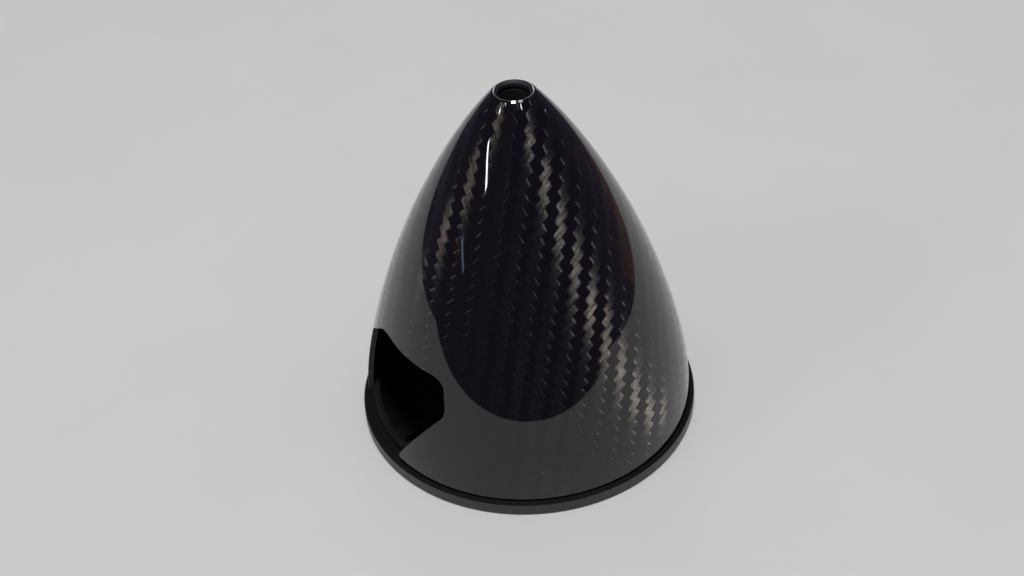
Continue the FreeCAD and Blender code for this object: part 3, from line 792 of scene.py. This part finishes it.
def warm_board():
    """A brown board that lies beyond the right edge of the table, for the gloss alone."""
    along, across = BOARD_BACK[1] - BOARD_BACK[0], BOARD_RIGHT[1] - BOARD_RIGHT[0]
    middle = Vector((sum(BOARD_RIGHT) / 2, sum(BOARD_BACK) / 2, BOARD_LEVEL))
    bpy.ops.mesh.primitive_plane_add(size=1, location=Matrix.Rotation(VIEW_TURN, 3, "Z") @ middle,
                                     rotation=(0, 0, VIEW_TURN))
    board = bpy.context.object
    board.name = "warm_board"
    board.scale = (across, along, 1)
    material, bench, skin = new_material("brown_board", Roughness=1.0, Specular_IOR_Level=0.0)
    place = bench.add("TexCoord").outputs["Object"]
    from_edge = bench.math("ADD", bench.add("SeparateXYZ", place).outputs[0], 0.5)
    fade = bench.math("POWER", bench.math("SUBTRACT", 1.0, from_edge), 3.0)
    skin["Base Color"].default_value = BLACK
    skin["Emission Strength"].default_value = 1.0
    bench.feed(skin["Emission Color"], bench.mix(fade, DARK_ROOM, (0.27, 0.145, 0.10, 1)))
    board.data.materials.append(material)
    only_for_gloss(board)
    return board


def seen_ray(bench):
    """1 for what the camera sees straight on, in a mirror or through glass."""
    rays = bench.add("LightPath").outputs
    return bench.math("MAXIMUM", rays["Is Camera Ray"],
                      bench.math("MAXIMUM", rays["Is Glossy Ray"], rays["Is Transmission Ray"]))


def pale_floor():
    """Plain floor with faint smudges, which fades far out into the pale background."""
    bpy.ops.mesh.primitive_plane_add(size=FLOOR_SIZE, location=(0, 0, 0))
    floor = bpy.context.object
    floor.name = "floor"
    material, bench, skin = new_material("pale_floor", Roughness=0.9)
    place = bench.add("TexCoord").outputs["Object"]
    smudge = bench.noise(place, 14.0, detail=5.0, roughness=0.6)
    pale = bench.mix(smudge, (0.585, 0.58, 0.575, 1), (0.535, 0.53, 0.53, 1))
    away = bench.add("VectorMath", place, operation="LENGTH").outputs["Value"]
    far = bench.add("MapRange", away, *FLOOR_FADE, 0.0, 1.0, interpolation_type="SMOOTHSTEP").outputs[0]
    backdrop = bench.math("MULTIPLY", far, seen_ray(bench))
    bench.feed(skin["Base Color"], bench.mix(backdrop, pale, BLACK))
    bench.feed(skin["Emission Color"], bench.mix(backdrop, BLACK, (SKY_SEEN, SKY_SEEN, SKY_SEEN, 1)))
    skin["Emission Strength"].default_value = 1.0
    floor.data.materials.append(material)
    return floor


def black_cloth():
    """Cloth all round the table top, for what the gloss picks up."""
    bpy.ops.mesh.primitive_plane_add(size=FLOOR_SIZE, location=(0, 0, CLOTH_LEVEL))
    cloth = bpy.context.object
    cloth.name = "black_cloth"
    bpy.ops.object.mode_set(mode="EDIT")
    turn = Matrix.Rotation(VIEW_TURN, 3, "Z")
    for direction, reach in TABLE:
        side = turn @ Vector(direction)
        bpy.ops.mesh.select_all(action="SELECT")
        bpy.ops.mesh.bisect(plane_co=side * reach, plane_no=side)
    bpy.ops.object.mode_set(mode="OBJECT")
    for face in cloth.data.polygons:
        face.select = all((turn @ Vector(way)).dot(face.center) < reach for way, reach in TABLE)
    bpy.ops.object.mode_set(mode="EDIT")
    bpy.ops.mesh.delete(type="FACE")
    bpy.ops.object.mode_set(mode="OBJECT")
    return cloth


def black_room():
    """Dark walls and ceiling, for what the gloss picks up."""
    bpy.ops.mesh.primitive_uv_sphere_add(segments=48, ring_count=24, radius=ROOM_RADIUS,
                                         location=(0, 0, 0))
    room = bpy.context.object
    room.name = "black_room"
    return room


def soft_world():
    """Even light from all round, and the pale background where a ray sees it."""
    world = bpy.data.worlds.new("soft_light")
    bpy.context.scene.world = world
    world.use_nodes = True
    bench = Bench(world.node_tree)
    back_light = world.node_tree.nodes["Background"]
    back_light.inputs["Color"].default_value = WHITE
    brighter = bench.math("MULTIPLY", seen_ray(bench), SKY_SEEN - SKY_LIGHT)
    bench.feed(back_light.inputs["Strength"], bench.math("ADD", SKY_LIGHT, brighter))


def studio():
    """Floor, dark surroundings and world."""
    floor, cloth, room = pale_floor(), black_cloth(), black_room()
    dark, _, skin = new_material("black_cloth", Roughness=1.0, Specular_IOR_Level=0.0)
    skin["Base Color"].default_value = BLACK
    skin["Emission Color"].default_value = DARK_ROOM
    skin["Emission Strength"].default_value = 1.0
    for each in (cloth, room):
        each.data.materials.append(dark)
        only_for_gloss(each)
    warm_board()
    soft_world()


LAMP_TARGET = (0, 0, 0.05)


def aim(azimuth, elevation, distance):
    """Place and turn of a lamp seen from the target; azimuth counts from the camera to the right."""
    turn, rise = math.radians(azimuth) + VIEW_TURN, math.radians(elevation)
    away = Vector((math.sin(turn) * math.cos(rise), -math.cos(turn) * math.cos(rise), math.sin(rise)))
    return Vector(LAMP_TARGET) + away * distance, away.to_track_quat("Z", "Y").to_euler()


WHITE_LIGHT = (1, 1, 1)
# name, azimuth and elevation in degrees, distance, width and height in metres, watts, colour, roll
LAMPS = (
    ("ceiling_lamp", -10, 84, 1.6, 0.26, 0.20, 17.2, WHITE_LIGHT, 0),
    ("ceiling_panel", 64, 81.6, 1.486, 0.08, 0.82, 1.6, WHITE_LIGHT, 35),
    ("left_tube", -58.3, 27.1, 1.3, 0.40, 0.035, 1.1, WHITE_LIGHT, -22),
    ("left_low_tube", -61.5, 9.0, 1.3, 0.22, 0.03, 0.03, (0.6, 0.75, 1.0), -22),
    ("left_spot", -64, 39.5, 1.3, 0.045, 0.025, 0.16, WHITE_LIGHT, 0),
    ("left_small_spot", -46, 46, 1.3, 0.03, 0.03, 0.08, WHITE_LIGHT, 0),
    ("right_spot", 35, 47, 1.3, 0.035, 0.02, 0.1, WHITE_LIGHT, 0),
    ("right_low_spot", 114, 16, 1.3, 0.012, 0.012, 0.01, WHITE_LIGHT, 0),
    ("rear_window", 180, 34, 1.5, 0.4, 0.12, 1.0, (0.9, 0.85, 1.0), 0),
)


def lamp(name, azimuth, elevation, distance, width, height, power, colour, roll):
    """A flat lamp that faces the object."""
    location, rotation = aim(azimuth, elevation, distance)
    bpy.ops.object.light_add(type="AREA", location=location, rotation=rotation)
    light = bpy.context.object
    light.name = name
    light.rotation_euler.rotate_axis("Z", math.radians(roll))
    light.data.shape = "RECTANGLE"
    light.data.size, light.data.size_y = width, height
    light.data.energy, light.data.color = power, colour


studio()
for settings in LAMPS:
    lamp(*settings)

bpy.context.scene.view_settings.view_transform = "Standard"
